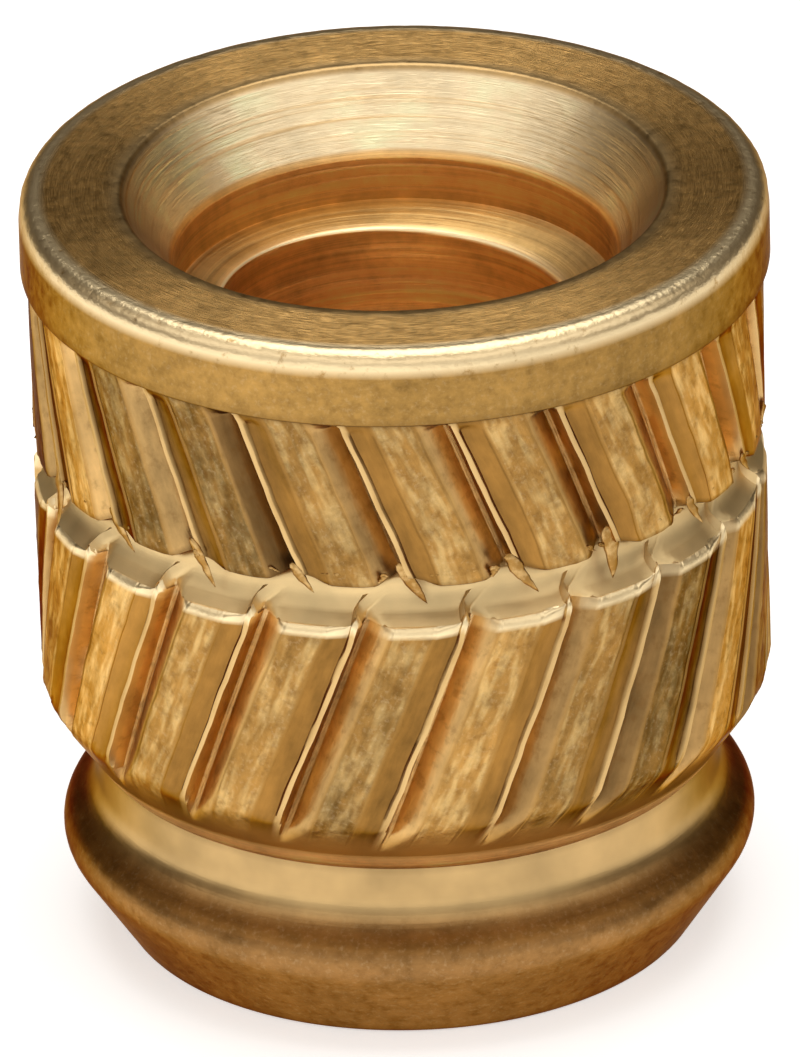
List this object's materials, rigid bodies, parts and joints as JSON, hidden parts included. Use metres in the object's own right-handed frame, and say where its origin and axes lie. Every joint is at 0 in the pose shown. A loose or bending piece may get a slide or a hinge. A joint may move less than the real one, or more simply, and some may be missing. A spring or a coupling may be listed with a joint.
{
  "type": "threaded insert",
  "caption": "Turned brass insert with a countersunk threaded bore, a plain head, two opposed helical knurl bands with a groove between them, and a rounded pilot ring.",
  "frame": {"origin": "centre of the flat bottom face, on the axis of the bore", "axes": "+Z along the bore, out of the countersunk mouth; X and Y are across, and -Y faces the viewer"},
  "size_m": [0.007, 0.007, 0.0075],
  "materials": {
    "brass": "turned and knurled, bare, lightly tarnished"
  },
  "bodies": {
    "root": {"insert": "brass"}
  },
  "joints": []
}
